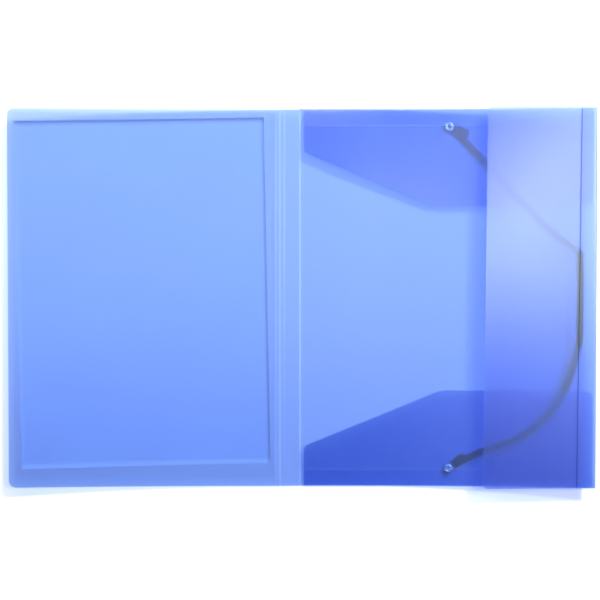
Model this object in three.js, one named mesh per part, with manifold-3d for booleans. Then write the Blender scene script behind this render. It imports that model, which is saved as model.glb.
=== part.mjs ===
// An open three flap folder for A4 papers, folded from one score-line sheet, in millimetres.
// It lies inside up: the cover to the left, the spine, and the back panel with its three flaps to the right.
// X runs from the cover to the fore edge, Y from the bottom edge to the top edge, Z upwards.
import * as THREE from "three";
import { mergeVertices } from "three/addons/utils/BufferGeometryUtils.js";
import Module from "manifold-3d";

const wasm = await Module();
wasm.setup();

// The sheet
const sheetThickness = 0.5;
const sheetHeight = 320;
const creaseGap = 0.3;
const scoreWidth = 1.2;
const scoreDepth = 0.18;
const fitGap = 0.2;

// Cover and spine
const coverWidth = 229;
const coverCurlRadius = 2600;
const coverCornerRadius = 6;
const coverScoreOffset = 3;
const spineWidth = 17;
const spineScoreOffset = 4;

// Clear pocket on the outside of the cover, and the sheet that it holds
const filmThickness = 0.12;
const pocketSideMargin = 5;
const pocketFootMargin = 7;
const pocketMouthMargin = 3;
const pocketCornerRadius = 5;
const pocketFloorGap = 0.06;
const weldWidth = 0.9;
const weldInset = 0.3;
const insertThickness = 0.12;
const insertWidth = 210;
const insertLength = 292;
const insertTurn = THREE.MathUtils.degToRad(1.1);
const insertFootGap = 9.5;

// Back panel, which springs up towards the fore edge
const panelWidth = 249;
const flatRun = 66;
const foreEdgeLift = 12;
const liftPower = 1.5;
const liftSteps = 15;

// Flaps that fold in over the back panel
const gussetWidth = 14.5;
const edgeFoldRadius = 0.5;
const endFlapReach = 82;
const endFlapInset = 3.2;
const endFlapCornerRadius = 6;
const endFlapSpringStart = 150;
const gussetSpring = 1.2;
const endFlapSpring = 7.8;
const topFlapSpineSide = 37;
const topFlapShoulder = 112;
const bottomFlapSpineSide = 35;
const bottomFlapShoulder = 119;

// Fore-edge flap, the one that closes over the other two
const foreFoldRadius = 0.9;
const foreFlapWidth = 80;
const foreFlapSlope = THREE.MathUtils.degToRad(4.6);
const foreFlapCornerRadius = 4.5;

// Elastic band, held by an eyelet at each end and threaded through two slits
const bandWidth = 5.8;
const bandThickness = 0.6;
const tabWidth = 7.2;
const tabLength = 14;
const tabOverhang = 4;
const slitInset = 14;
const slitSpacing = 76;
const slitLength = 3.6;
const slitClearance = 0.5;
const eyeletEdgeInset = 15;
const eyeletOffset = 1.5;
const eyeletBoreRadius = 1.15;
const eyeletBarrelRadius = 1.6;
const eyeletHoleClearance = 0.35;
const eyeletRimRadius = 3.75;
const eyeletRimHeight = 0.55;
const eyeletClinchRadius = 2.5;
const eyeletClinchHeight = 0.22;

// Places that follow from the sizes
const halfHeight = sheetHeight / 2;
const layerPitch = 2 * edgeFoldRadius;
const foldCentreX = panelWidth - sheetThickness / 2 - foreFoldRadius;
const panelEnd = foldCentreX - creaseGap;
const pocketDepth = 2 * fitGap + insertThickness + filmThickness;
const coverRise = pocketDepth + pocketFloorGap;
const endFlapEnd = panelWidth - endFlapInset;
const eyeletX = panelWidth / 2 + eyeletOffset;
const eyeletY = halfHeight - eyeletEdgeInset;
const slitX = panelWidth - slitInset;
const slitY = slitSpacing / 2;
const betweenLayers = sheetThickness / 2 + edgeFoldRadius;

// Height of the panel's underside above the table, at a distance from the spine.
function lift(x) {
  const along = Math.max(0, (x - flatRun) / (panelEnd - flatRun));
  return foreEdgeLift * along ** liftPower;
}

function liftSlope(x) {
  const along = Math.max(0, (x - flatRun) / (panelEnd - flatRun));
  return (foreEdgeLift * liftPower * along ** (liftPower - 1)) / (panelEnd - flatRun);
}

// How far the end flaps stand open: fully near the spine, and pressed shut inside the fore-edge fold.
function springShare(x) {
  return 1 - THREE.MathUtils.smoothstep(x, endFlapSpringStart, endFlapEnd);
}

// A closed mesh as a solid for cutting and joining, and back again.
function toSolid(geometry) {
  const bare = geometry.index ? geometry.toNonIndexed() : geometry.clone();
  bare.deleteAttribute("normal");
  bare.deleteAttribute("uv");
  const merged = mergeVertices(bare, 1e-4);
  return new wasm.Manifold(
    new wasm.Mesh({
      numProp: 3,
      vertProperties: merged.attributes.position.array,
      triVerts: new Uint32Array(merged.index.array),
    }),
  );
}

function toGeometry(solid) {
  const mesh = solid.getMesh();
  const geometry = new THREE.BufferGeometry();
  geometry.setAttribute("position", new THREE.BufferAttribute(mesh.vertProperties, 3));
  geometry.setIndex(new THREE.BufferAttribute(mesh.triVerts, 1));
  geometry.computeVertexNormals();
  return geometry;
}

// The outline of a bent strip: its middle line is a list of points (u, v) with the thickness t at each.
function stripOutline(points) {
  const above = [];
  const below = [];
  points.forEach((point, i) => {
    const last = points[Math.max(i - 1, 0)];
    const next = points[Math.min(i + 1, points.length - 1)];
    const before = new THREE.Vector2(point.u - last.u, point.v - last.v).normalize();
    const after = new THREE.Vector2(next.u - point.u, next.v - point.v).normalize();
    const along = before.clone().add(after).normalize();
    const mitre = Math.max(along.dot(i ? before : after), 0.5);
    const half = point.t / 2 / mitre;
    above.push(new THREE.Vector2(point.u - along.y * half, point.v + along.x * half));
    below.push(new THREE.Vector2(point.u + along.y * half, point.v - along.x * half));
  });
  return [...below, ...above.reverse()];
}

// Three points of a strip that mark a score line pressed into it.
function scoreLine(u, v, du, dv) {
  const half = scoreWidth / 2;
  return [
    { u: u - du * half, v: v - dv * half, t: sheetThickness },
    { u, v, t: sheetThickness - scoreDepth },
    { u: u + du * half, v: v + dv * half, t: sheetThickness },
  ];
}

// A strip outline in X and Z, run along Y between two heights of the sheet.
function runAlongY(outline, fromY, toY) {
  const geometry = new THREE.ExtrudeGeometry(new THREE.Shape(outline), {
    depth: toY - fromY,
    bevelEnabled: false,
  });
  geometry.rotateX(Math.PI / 2);
  geometry.translate(0, toY, 0);
  return geometry;
}

// An upright prism on a flat outline, used to trim sheets to shape.
function prism(shape, fromZ = -50, toZ = 80) {
  const geometry = new THREE.ExtrudeGeometry(shape, {
    depth: toZ - fromZ,
    bevelEnabled: false,
    curveSegments: 10,
  });
  geometry.translate(0, 0, fromZ);
  return toSolid(geometry);
}

// A body through closed sections with the same number of points, closed by a cap at each end.
function loft(sections, capAxes) {
  const count = sections[0].length;
  const positions = sections.flat().flatMap((p) => [p.x, p.y, p.z]);
  const faces = [];
  for (let s = 0; s + 1 < sections.length; s += 1) {
    for (let i = 0; i < count; i += 1) {
      const a = s * count + i;
      const b = s * count + ((i + 1) % count);
      faces.push(a, b, b + count, a, b + count, a + count);
    }
  }
  const flat = sections[0].map((p) => new THREE.Vector2(p[capAxes[0]], p[capAxes[1]]));
  const lastStart = (sections.length - 1) * count;
  THREE.ShapeUtils.triangulateShape(flat, []).forEach(([a, b, c]) => {
    faces.push(a, c, b, lastStart + a, lastStart + b, lastStart + c);
  });
  const geometry = new THREE.BufferGeometry();
  geometry.setAttribute("position", new THREE.Float32BufferAttribute(positions, 3));
  geometry.setIndex(faces);
  return geometry;
}

// A flat outline whose corners are rounded by arcs. Corners run anticlockwise.
function roundedShape(corners) {
  const shape = new THREE.Shape();
  corners.forEach(({ x, y, r = 0 }, i) => {
    const corner = new THREE.Vector2(x, y);
    const last = corners[(i + corners.length - 1) % corners.length];
    const next = corners[(i + 1) % corners.length];
    const back = new THREE.Vector2(last.x, last.y).sub(corner).normalize();
    const ahead = new THREE.Vector2(next.x, next.y).sub(corner).normalize();
    const half = Math.acos(THREE.MathUtils.clamp(back.dot(ahead), -1, 1)) / 2;
    const start = corner.clone().addScaledVector(back, r / Math.tan(half));
    if (i === 0) shape.moveTo(start.x, start.y);
    else shape.lineTo(start.x, start.y);
    if (r === 0) return;
    const towardsCentre = back.clone().add(ahead).normalize();
    const centre = corner.clone().addScaledVector(towardsCentre, r / Math.sin(half));
    const end = corner.clone().addScaledVector(ahead, r / Math.tan(half));
    const clockwise = back.cross(ahead) > 0;
    const startAngle = Math.atan2(start.y - centre.y, start.x - centre.x);
    const endAngle = Math.atan2(end.y - centre.y, end.x - centre.x);
    shape.absarc(centre.x, centre.y, r, startAngle, endAngle, clockwise);
  });
  shape.closePath();
  return shape;
}

function rectangle(fromX, toX, fromY, toY, radii = [0, 0, 0, 0]) {
  return roundedShape([
    { x: fromX, y: fromY, r: radii[0] },
    { x: toX, y: fromY, r: radii[1] },
    { x: toX, y: toY, r: radii[2] },
    { x: fromX, y: toY, r: radii[3] },
  ]);
}

// Cover

// A point of the curled cover: a distance from its crease, and an offset from its middle towards the inside.
function coverPoint(distance, offset) {
  const angle = distance / coverCurlRadius;
  const radius = coverCurlRadius - offset;
  return {
    u: -spineWidth - radius * Math.sin(angle),
    v: coverRise + sheetThickness / 2 + coverCurlRadius - radius * Math.cos(angle),
  };
}

// A layer that follows the cover's curl, between two distances from the crease.
function coverLayer(from, to, offset, thickness, scored = []) {
  const marks = Array.from({ length: 17 }, (_, i) => (coverWidth * i) / 16);
  const plain = marks.filter((d) => d > from && d < to && scored.every((s) => Math.abs(s - d) > scoreWidth));
  const stations = [from, ...plain, to].map((d) => ({ d, t: thickness }));
  scored.forEach((s) => {
    stations.push({ d: s - scoreWidth / 2, t: thickness });
    stations.push({ d: s, t: thickness - scoreDepth });
    stations.push({ d: s + scoreWidth / 2, t: thickness });
  });
  stations.sort((a, b) => a.d - b.d);
  return stripOutline(stations.map(({ d, t }) => ({ ...coverPoint(d, offset), t })));
}

function coverSheet() {
  const outline = coverLayer(creaseGap / 2, coverWidth, 0, sheetThickness, [coverScoreOffset]);
  const plan = rectangle(
    coverPoint(coverWidth, 0).u,
    -spineWidth,
    -halfHeight,
    halfHeight,
    [coverCornerRadius, 0, 0, coverCornerRadius],
  );
  return toSolid(runAlongY(outline, -halfHeight - 1, halfHeight + 1)).intersect(prism(plan));
}

// The film's edges in plan, seen from above.
const pocket = {
  left: coverPoint(coverWidth - pocketSideMargin, 0).u,
  right: coverPoint(pocketSideMargin, 0).u,
  foot: -halfHeight + pocketFootMargin,
  mouth: halfHeight - pocketMouthMargin,
};

function pocketPlan(inset) {
  const radius = Math.max(pocketCornerRadius - inset, 0.5);
  return rectangle(
    pocket.left + inset,
    pocket.right - inset,
    pocket.foot + inset,
    pocket.mouth,
    [radius, radius, 0, 0],
  );
}

// The film, with the raised weld that joins it to the cover along three sides.
function pocketFilm() {
  const filmTop = -(sheetThickness / 2 + 2 * fitGap + insertThickness);
  const weldTop = -(sheetThickness / 2 + fitGap);
  const weldFoot = filmTop - filmThickness / 2;
  const film = coverLayer(1, coverWidth, filmTop - filmThickness / 2, filmThickness);
  const weld = coverLayer(1, coverWidth, (weldTop + weldFoot) / 2, weldTop - weldFoot);
  const outside = prism(pocketPlan(weldInset));
  const inside = prism(
    rectangle(
      pocket.left + weldInset + weldWidth,
      pocket.right - weldInset - weldWidth,
      pocket.foot + weldInset + weldWidth,
      halfHeight + 1,
      [pocketCornerRadius / 2, pocketCornerRadius / 2, 0, 0],
    ),
  );
  const wall = toSolid(runAlongY(weld, -halfHeight, pocket.mouth - weldInset));
  return toSolid(runAlongY(film, -halfHeight, halfHeight))
    .intersect(prism(pocketPlan(0)))
    .add(wall.intersect(outside).subtract(inside));
}

function insertSheet() {
  const offset = -(sheetThickness / 2 + fitGap + insertThickness / 2);
  const layer = coverLayer(1, coverWidth, offset, insertThickness);
  const centre = new THREE.Vector2((pocket.left + pocket.right) / 2, pocket.foot + insertFootGap);
  centre.y += insertLength / 2;
  const corners = [
    [-1, -1],
    [1, -1],
    [1, 1],
    [-1, 1],
  ].map(([i, j]) =>
    new THREE.Vector2((i * insertWidth) / 2, (j * insertLength) / 2)
      .rotateAround(new THREE.Vector2(), insertTurn)
      .add(centre),
  );
  return toSolid(runAlongY(layer, -halfHeight, halfHeight)).intersect(prism(new THREE.Shape(corners)));
}

// Spine

function spineStrip() {
  const from = { u: -spineWidth + creaseGap / 2, v: coverRise + sheetThickness / 2, t: sheetThickness };
  const to = { u: -creaseGap / 2, v: sheetThickness / 2, t: sheetThickness };
  const along = new THREE.Vector2(to.u - from.u, to.v - from.v);
  const share = spineScoreOffset / along.length();
  const u = from.u + along.x * share;
  const v = from.v + along.y * share;
  along.normalize();
  return runAlongY(stripOutline([from, ...scoreLine(u, v, along.x, along.y), to]), -halfHeight, halfHeight);
}

// Back panel with the top and bottom flaps, folded from one piece

// Half of the folded section at a distance from the spine, from the middle of the panel to a flap's free edge.
function foldedHalf(x) {
  const share = springShare(x);
  const foldY = halfHeight - sheetThickness / 2 - edgeFoldRadius;
  const points = [];
  for (let i = 0; i <= 8; i += 1) {
    const angle = -Math.PI / 2 + (Math.PI * i) / 8;
    points.push({
      u: foldY + edgeFoldRadius * Math.cos(angle),
      v: sheetThickness / 2 + edgeFoldRadius * (1 + Math.sin(angle)),
      t: sheetThickness,
    });
  }
  const creaseY = halfHeight - gussetWidth;
  const creaseZ = sheetThickness / 2 + layerPitch + gussetSpring * share;
  points.push(...scoreLine(creaseY, creaseZ, -1, 0));
  const trimmed = 4;
  const flapRun = endFlapReach - gussetWidth;
  const edgeZ = creaseZ + endFlapSpring * share * ((flapRun + trimmed) / flapRun);
  points.push({ u: halfHeight - endFlapReach - trimmed, v: edgeZ, t: sheetThickness });
  return points;
}

function foldedSection(x) {
  const half = foldedHalf(x);
  const mirrored = half.map((p) => ({ ...p, u: -p.u })).reverse();
  return stripOutline([...mirrored, ...half]).map((p) => new THREE.Vector3(x, p.x, p.y + lift(x)));
}

function liftStations(from, to) {
  const stations = [from];
  for (let i = 0; i <= liftSteps; i += 1) {
    const x = flatRun + ((panelEnd - flatRun) * i) / liftSteps;
    if (x > from + 1 && x < to - 1) stations.push(x);
  }
  return [...stations, to];
}

// A flap's flat outline: straight beside the spine, slanting to its shoulder, then along its free edge.
function endFlapPlan(side, spineSide, shoulder) {
  const corners = [
    { x: endFlapInset, y: halfHeight + 2 },
    { x: endFlapInset, y: halfHeight - spineSide, r: endFlapCornerRadius },
    { x: shoulder, y: halfHeight - endFlapReach, r: endFlapCornerRadius * 2 },
    { x: endFlapEnd, y: halfHeight - endFlapReach, r: endFlapCornerRadius },
    { x: endFlapEnd, y: halfHeight + 2 },
  ];
  if (side > 0) return roundedShape(corners);
  return roundedShape(corners.map((c) => ({ ...c, y: -c.y })).reverse());
}

// A slab that starts between the two layers, less the flaps' outlines: what is trimmed off the upper layer.
function flapTrimming() {
  const sections = liftStations(-5, panelWidth + 5).map((x) =>
    [
      [-halfHeight - 5, betweenLayers],
      [halfHeight + 5, betweenLayers],
      [halfHeight + 5, 40],
      [-halfHeight - 5, 40],
    ].map(([y, z]) => new THREE.Vector3(x, y, z + lift(x))),
  );
  return toSolid(loft(sections, ["y", "z"]))
    .subtract(prism(endFlapPlan(1, topFlapSpineSide, topFlapShoulder)))
    .subtract(prism(endFlapPlan(-1, bottomFlapSpineSide, bottomFlapShoulder)));
}

// A slit with round ends across the band's way.
function slitPlan(y) {
  const halfAcross = bandWidth / 2 + slitClearance;
  const radius = slitLength / 2 - 0.01;
  return rectangle(
    slitX - halfAcross,
    slitX + halfAcross,
    y - slitLength / 2,
    y + slitLength / 2,
    [radius, radius, radius, radius],
  );
}

function eyeletHole(x, y, fromZ, toZ) {
  const hole = new THREE.CylinderGeometry(
    eyeletBarrelRadius + eyeletHoleClearance,
    eyeletBarrelRadius + eyeletHoleClearance,
    toZ - fromZ,
    24,
  );
  hole.rotateX(Math.PI / 2);
  hole.translate(x, y, (fromZ + toZ) / 2);
  return toSolid(hole);
}

function backPanelAndEndFlaps() {
  const sections = liftStations(creaseGap / 2, panelEnd).map(foldedSection);
  let folded = toSolid(loft(sections, ["y", "z"])).subtract(flapTrimming());
  for (const side of [1, -1]) {
    const holeTop = lift(eyeletX) + betweenLayers;
    folded = folded.subtract(eyeletHole(eyeletX, side * eyeletY, -1, holeTop));
    folded = folded.subtract(prism(slitPlan(side * slitY), 0, lift(slitX) + betweenLayers));
  }
  return folded;
}

// Fore-edge flap: the round fold, its gusset and the flap proper

function foreEdgeSection() {
  const points = [];
  const foldZ = foreEdgeLift + sheetThickness / 2 + foreFoldRadius;
  for (let i = 0; i <= 10; i += 1) {
    const angle = -Math.PI / 2 + (Math.PI * i) / 10;
    points.push({
      u: foldCentreX + foreFoldRadius * Math.cos(angle),
      v: foldZ + foreFoldRadius * Math.sin(angle),
      t: sheetThickness,
    });
  }
  const creaseX = panelWidth - gussetWidth;
  const level = foldZ + foreFoldRadius;
  points.push(...scoreLine(creaseX, level, -1, 0));
  points.push({
    u: creaseX - foreFlapWidth * Math.cos(foreFlapSlope),
    v: level + foreFlapWidth * Math.sin(foreFlapSlope),
    t: sheetThickness,
  });
  return points;
}

function foreEdgeFlap() {
  const section = foreEdgeSection();
  const freeEdge = section.at(-1).u;
  const radius = foreFlapCornerRadius;
  const plan = rectangle(freeEdge, panelWidth + 5, -halfHeight, halfHeight, [radius, 0, 0, radius]);
  return toSolid(runAlongY(stripOutline(section), -halfHeight - 1, halfHeight + 1)).intersect(prism(plan));
}

// Elastic band

// Route points: x, y and the height of the band's middle over the panel's underside.
const under = -(fitGap + bandThickness / 2 + 0.1);
const inside = sheetThickness + fitGap + bandThickness / 2 + 0.1;
const bandRoute = [
  [eyeletX + 14, eyeletY - 8.5, under - 0.6],
  [eyeletX + 32, eyeletY - 27.5, under - 2.1],
  [eyeletX + 49, eyeletY - 46.5, under - 3.7],
  [eyeletX + 66, eyeletY - 65.5, under - 5.4],
  [eyeletX + 83, eyeletY - 83.5, under - 5.6],
  [slitX - 14, slitY + 13.5, under - 3.4],
  [slitX - 5, slitY + 6.5, under - 1.2],
  [slitX - 0.7, slitY + 3.4, under - 0.1],
  [slitX, slitY + 1.4, under + 0.15],
  [slitX, slitY - 1.4, inside - 0.15],
  [slitX + 0.1, slitY - 3.6, inside],
  [slitX + 0.4, slitY / 2, inside],
  [slitX + 0.4, -slitY / 2, inside],
  [slitX + 0.1, -slitY + 3.6, inside],
  [slitX, -slitY + 1.4, inside - 0.15],
  [slitX, -slitY - 1.4, under + 0.15],
  [slitX - 0.5, -slitY - 3.6, under - 0.1],
  [slitX - 2.7, -slitY - 12, under],
  [slitX - 7, -slitY - 27, under],
  [slitX - 11, -slitY - 38, under],
  [slitX - 19, -slitY - 52.5, under],
  [slitX - 31.5, -slitY - 67, under],
  [slitX - 48, -slitY - 79.5, under],
  [slitX - 65, -slitY - 88, under],
  [eyeletX + 31, -eyeletY + 12.2, under],
  [eyeletX + 14, -eyeletY + 5.6, under],
];

// The tab at each end starts behind its eyelet and runs through it towards the route.
function tabPoint(side, distance) {
  const next = side > 0 ? bandRoute[0] : bandRoute.at(-1);
  const along = new THREE.Vector2(next[0] - eyeletX, next[1] - side * eyeletY).normalize();
  return [eyeletX + along.x * distance, side * eyeletY + along.y * distance, under];
}

function elasticBand() {
  const stops = [
    tabPoint(1, -tabOverhang),
    tabPoint(1, tabLength / 2 - tabOverhang),
    ...bandRoute,
    tabPoint(-1, tabLength / 2 - tabOverhang),
    tabPoint(-1, -tabOverhang),
  ];
  const curve = new THREE.CatmullRomCurve3(
    stops.map(([x, y, over]) => new THREE.Vector3(x, y, lift(x) + over)),
    false,
    "centripetal",
  );
  const steps = 150;
  const points = curve.getPoints(steps);
  const length = curve.getLength();
  const step = 0.3;
  const places = curve.getLengths(steps).map((s, i) => ({ s, p: points[i] }));
  for (const s of [tabLength, tabLength + step, length - tabLength - step, length - tabLength]) {
    places.push({ s, p: curve.getPointAt(s / length) });
  }
  places.sort((a, b) => a.s - b.s);
  const sections = places.map(({ s, p }) => {
    const doubled = s <= tabLength + 1e-6 || s >= length - tabLength - 1e-6;
    const ahead = curve.getPointAt(Math.min(s + step, length) / length);
    const behind = curve.getPointAt(Math.max(s - step, 0) / length);
    const along = ahead.sub(behind).normalize();
    const across = new THREE.Vector3(-along.y, along.x, 0).normalize();
    across.z = across.x * liftSlope(p.x);
    across.normalize();
    const up = across.clone().cross(along).normalize();
    if (up.z < 0) up.negate();
    const half = (doubled ? tabWidth : bandWidth) / 2;
    const low = doubled ? -1.5 * bandThickness : -0.5 * bandThickness;
    const high = bandThickness / 2;
    const edge = 0.2;
    return [
      [-half, low + edge],
      [-half + edge, low],
      [half - edge, low],
      [half, low + edge],
      [half, high - edge],
      [half - edge, high],
      [-half + edge, high],
      [-half, high - edge],
    ].map(([a, b]) => p.clone().addScaledVector(across, a).addScaledVector(up, b));
  });
  let band = toSolid(bandMesh(sections));
  for (const side of [1, -1]) {
    band = band.subtract(eyeletHole(eyeletX, side * eyeletY, -5, lift(eyeletX) + betweenLayers));
  }
  return band;
}

// The band's ends are flat eight-sided faces, closed by fans.
function bandMesh(sections) {
  const geometry = loft(sections, ["x", "z"]);
  const count = sections[0].length;
  const last = (sections.length - 1) * count;
  const sides = Array.from(geometry.index.array).slice(0, (sections.length - 1) * count * 6);
  for (let i = 1; i + 1 < count; i += 1) {
    sides.push(0, i + 1, i, last, last + i, last + i + 1);
  }
  geometry.setIndex(sides);
  return geometry;
}

// A rolled eyelet, on its own axis with the panel's underside at zero.
function eyeletGeometry() {
  const seat = sheetThickness + 0.15;
  const clinch = -(fitGap + 2 * bandThickness + 0.1 + 0.15);
  const profile = [
    [eyeletBoreRadius, clinch - eyeletClinchHeight],
    [eyeletClinchRadius, clinch - eyeletClinchHeight],
    [eyeletClinchRadius, clinch],
    [eyeletBarrelRadius, clinch],
    [eyeletBarrelRadius, seat],
    [eyeletRimRadius - 0.15, seat],
    [eyeletRimRadius, seat + 0.15],
    [eyeletRimRadius - 0.12, seat + 0.3],
    [eyeletRimRadius * 0.82, seat + eyeletRimHeight * 0.85],
    [eyeletRimRadius * 0.62, seat + eyeletRimHeight],
    [eyeletRimRadius * 0.45, seat + eyeletRimHeight * 0.8],
    [eyeletBoreRadius, seat + 0.1],
    [eyeletBoreRadius, clinch - eyeletClinchHeight],
  ];
  const geometry = new THREE.LatheGeometry(
    profile.map(([r, z]) => new THREE.Vector2(r, z)),
    32,
  );
  geometry.rotateX(Math.PI / 2);
  return geometry;
}

// The assembly

const folder = new THREE.Group();

function place(name, shape, finish) {
  const geometry = shape instanceof THREE.BufferGeometry ? shape : toGeometry(shape);
  const mesh = new THREE.Mesh(geometry, new THREE.MeshStandardMaterial(finish));
  mesh.name = name;
  folder.add(mesh);
  return mesh;
}

const frosted = { color: 0x5f93f5, roughness: 0.38, metalness: 0, transparent: true, opacity: 0.62 };
const clearFilm = { color: 0xd9e6ff, roughness: 0.2, metalness: 0, transparent: true, opacity: 0.2 };
const paper = { color: 0xf4f7ff, roughness: 0.85, metalness: 0 };
const elastic = { color: 0x1b2138, roughness: 0.9, metalness: 0 };
const plated = { color: 0xc9ced6, roughness: 0.25, metalness: 1 };

place("cover_sheet", coverSheet(), frosted);
place("pocket_film", pocketFilm(), clearFilm);
place("insert_sheet", insertSheet(), paper);
place("spine_strip", spineStrip(), frosted);
place("back_panel_and_end_flaps", backPanelAndEndFlaps(), frosted);
place("fore_edge_flap", foreEdgeFlap(), frosted);
place("elastic_band", elasticBand(), elastic);
for (const [name, side] of [
  ["top_eyelet", 1],
  ["bottom_eyelet", -1],
]) {
  const eyelet = place(name, eyeletGeometry(), plated);
  eyelet.position.set(eyeletX, side * eyeletY, lift(eyeletX));
  eyelet.rotation.y = -Math.atan(liftSlope(eyeletX));
}

// The origin is under the middle of the open folder.
folder.position.x = -(panelWidth + coverPoint(coverWidth, -sheetThickness / 2).u) / 2;

export default folder;
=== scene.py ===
import math
import bpy
import numpy as np
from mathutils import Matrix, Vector


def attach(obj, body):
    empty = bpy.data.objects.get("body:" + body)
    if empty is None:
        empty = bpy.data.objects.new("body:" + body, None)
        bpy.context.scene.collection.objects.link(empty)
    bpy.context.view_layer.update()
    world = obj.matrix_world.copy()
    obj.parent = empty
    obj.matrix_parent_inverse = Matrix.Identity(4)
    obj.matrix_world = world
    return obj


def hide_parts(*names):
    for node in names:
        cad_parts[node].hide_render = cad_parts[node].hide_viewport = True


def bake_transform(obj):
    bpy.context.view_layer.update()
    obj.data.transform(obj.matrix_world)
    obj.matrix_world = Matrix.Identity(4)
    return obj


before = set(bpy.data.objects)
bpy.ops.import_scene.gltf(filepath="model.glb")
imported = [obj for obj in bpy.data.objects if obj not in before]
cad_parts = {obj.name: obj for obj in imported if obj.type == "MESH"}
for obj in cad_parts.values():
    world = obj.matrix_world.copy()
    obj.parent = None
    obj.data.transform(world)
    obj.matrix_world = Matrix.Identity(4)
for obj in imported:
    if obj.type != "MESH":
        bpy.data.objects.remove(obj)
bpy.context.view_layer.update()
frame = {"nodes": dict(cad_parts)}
nodes = frame["nodes"]
mm = 0.001
print("frame loaded:", len(nodes), "nodes")

# Sizes in millimetres. Local x is zero at the crease between the spine and the back panel.
folder = {
    "originX": -1.636987,
    "thickness": 0.5,
    "halfHeight": 160.0,
    "creaseGap": 0.15,
    "coverRise": 0.70,
    "curlRadius": 2600.0,
    "spineWidth": 17.0,
    "panelEnd": 247.55,
    "flatRun": 66.0,
    "foreLift": 12.0,
    "flapEnd": 245.8,
    "spring": (0.0, 165.0),
    "foreCrease": 234.5,
    "slit": (235.0, 38.0),
    "eyelet": (126.0, 145.0),
    "bevel": 0.14,
    "rimShare": 0.35,
    "rimRow": 0.12,
}


# Helpers for surfaces
def smooth(x, low, high):
    # the usual ease between two edges: t squared times three less twice t
    t = np.clip((x - low) / (high - low), 0, 1)
    return t * t * (3 - 2 * t)


def lift(x):
    # the panel's underside rises as the distance past the flat run to the power one and a half
    along = np.clip((x - folder["flatRun"]) / (folder["panelEnd"] - folder["flatRun"]), 0, None)
    return folder["foreLift"] * along**1.5


def panelSlope(x, step=0.01):
    # the rise over a short step
    return (lift(x + step) - lift(x)) / step


def springShare(x):
    # the end flaps stand open by the spine and lie on the panel towards the fore edge
    return 1 - smooth(x, *folder["spring"])


def coverMiddle(distance, offset):
    # a circle of the curl radius that is level at the spine, met at a distance along its arc
    angle = distance / folder["curlRadius"]
    radius = folder["curlRadius"] - offset
    x = -folder["spineWidth"] - radius * np.sin(angle)
    z = folder["coverRise"] + folder["thickness"] / 2 + folder["curlRadius"] - radius * np.cos(angle)
    return x, z


def line(low, high, count):
    return np.linspace(low, high, count)


def joined(*runs):
    return np.unique(np.round(np.concatenate([np.atleast_1d(r) for r in runs]), 6))


def table(runs):
    # places along a sheet, from rows that give the start, the end and the count of a run
    return joined(*(line(*run) for run in runs))


def surfaceNormals(points):
    # the cross product of the grid's two directions, scaled to one
    normals = np.cross(np.gradient(points, axis=1), np.gradient(points, axis=0))
    return normals / np.maximum(np.linalg.norm(normals, axis=2, keepdims=True), 1e-12)


def addPolygons(name, points, polygons):
    # points are local millimetres
    mesh = bpy.data.meshes.new(name)
    moved = (np.asarray(points, float) + (folder["originX"], 0, 0)) * mm
    mesh.from_pydata(moved.tolist(), [], polygons)
    piece = bpy.data.objects.new(name, mesh)
    bpy.context.collection.objects.link(piece)
    return piece


def addMesh(name, points, faces, attributes=None):
    # each named attribute has one number per point
    piece = addPolygons(name, points, faces.tolist())
    mesh = piece.data
    for key, values in (attributes or {}).items():
        numbers = np.asarray(values, np.float32).ravel()
        mesh.attributes.new(key, "FLOAT", "POINT").data.foreach_set("value", numbers)
    mesh.polygons.foreach_set("use_smooth", np.ones(len(mesh.polygons), bool))
    mesh.update()
    return piece


def gridFaces(rows, cols, start=0, flip=False):
    index = start + np.arange(rows * cols).reshape(rows, cols)
    corners = (index[:-1, :-1], index[:-1, 1:], index[1:, 1:], index[1:, :-1])
    quads = np.stack([c.ravel() for c in corners], axis=1)
    return quads[:, ::-1] if flip else quads


def shell(name, middle, thickness, clear=None, bevel=folder["bevel"]):
    # a sheet: its middle grid moved half the thickness to each side, and a bevelled rim round the border
    rows, cols = middle.shape[:2]
    normals = surfaceNormals(middle)
    half = np.broadcast_to(np.asarray(thickness, float), (rows, cols)) / 2
    inner = half - bevel * folder["rimShare"]
    border = np.zeros((rows, cols), bool)
    border[[0, -1], :] = True
    border[:, [0, -1]] = True
    half = np.where(border, inner, half)[..., None]
    above = middle + normals * half
    below = middle - normals * half
    count = rows * cols
    index = np.arange(count).reshape(rows, cols)
    loop = np.concatenate([index[0, :-1], index[:-1, -1], index[-1, :0:-1], index[:0:-1, 0]])
    after = np.roll(loop, -1)
    rim = np.stack([loop, loop + count, after + count, after], axis=1)
    faces = np.concatenate([gridFaces(rows, cols), gridFaces(rows, cols, count, True), rim[:, ::-1]])
    # the clear attribute carries clearer welds and scores, and also painted highlight above nought and
    # painted shade below it
    values = np.zeros((rows, cols)) if clear is None else clear
    points = np.concatenate([above.reshape(-1, 3), below.reshape(-1, 3)])
    piece = addMesh(name, points, faces, {"clear": np.concatenate([values.ravel(), values.ravel()])})
    # the rim is flat shaded, so that it doesn't bend the light of the faces beside it
    piece.data.polygons.foreach_set("use_smooth", np.arange(len(faces)) < len(faces) - len(rim))
    return piece


def insetColumns(count, first, second):
    # shares from nought to one, with two narrow steps at both ends that keep the face beside the bevel flat
    return np.concatenate([[0, first], line(second, 1 - second, count), [1 - first, 1]])


# How much painted highlight gathers at the folded sheet's cut edges, and how far painted shade deepens its
# tint towards the foot
shading = {"edgeGlow": 0.34, "edgeFade": 2.4, "footGlow": 0.4, "paintedFootShade": 0.06, "footEnd": -150.0}


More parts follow.
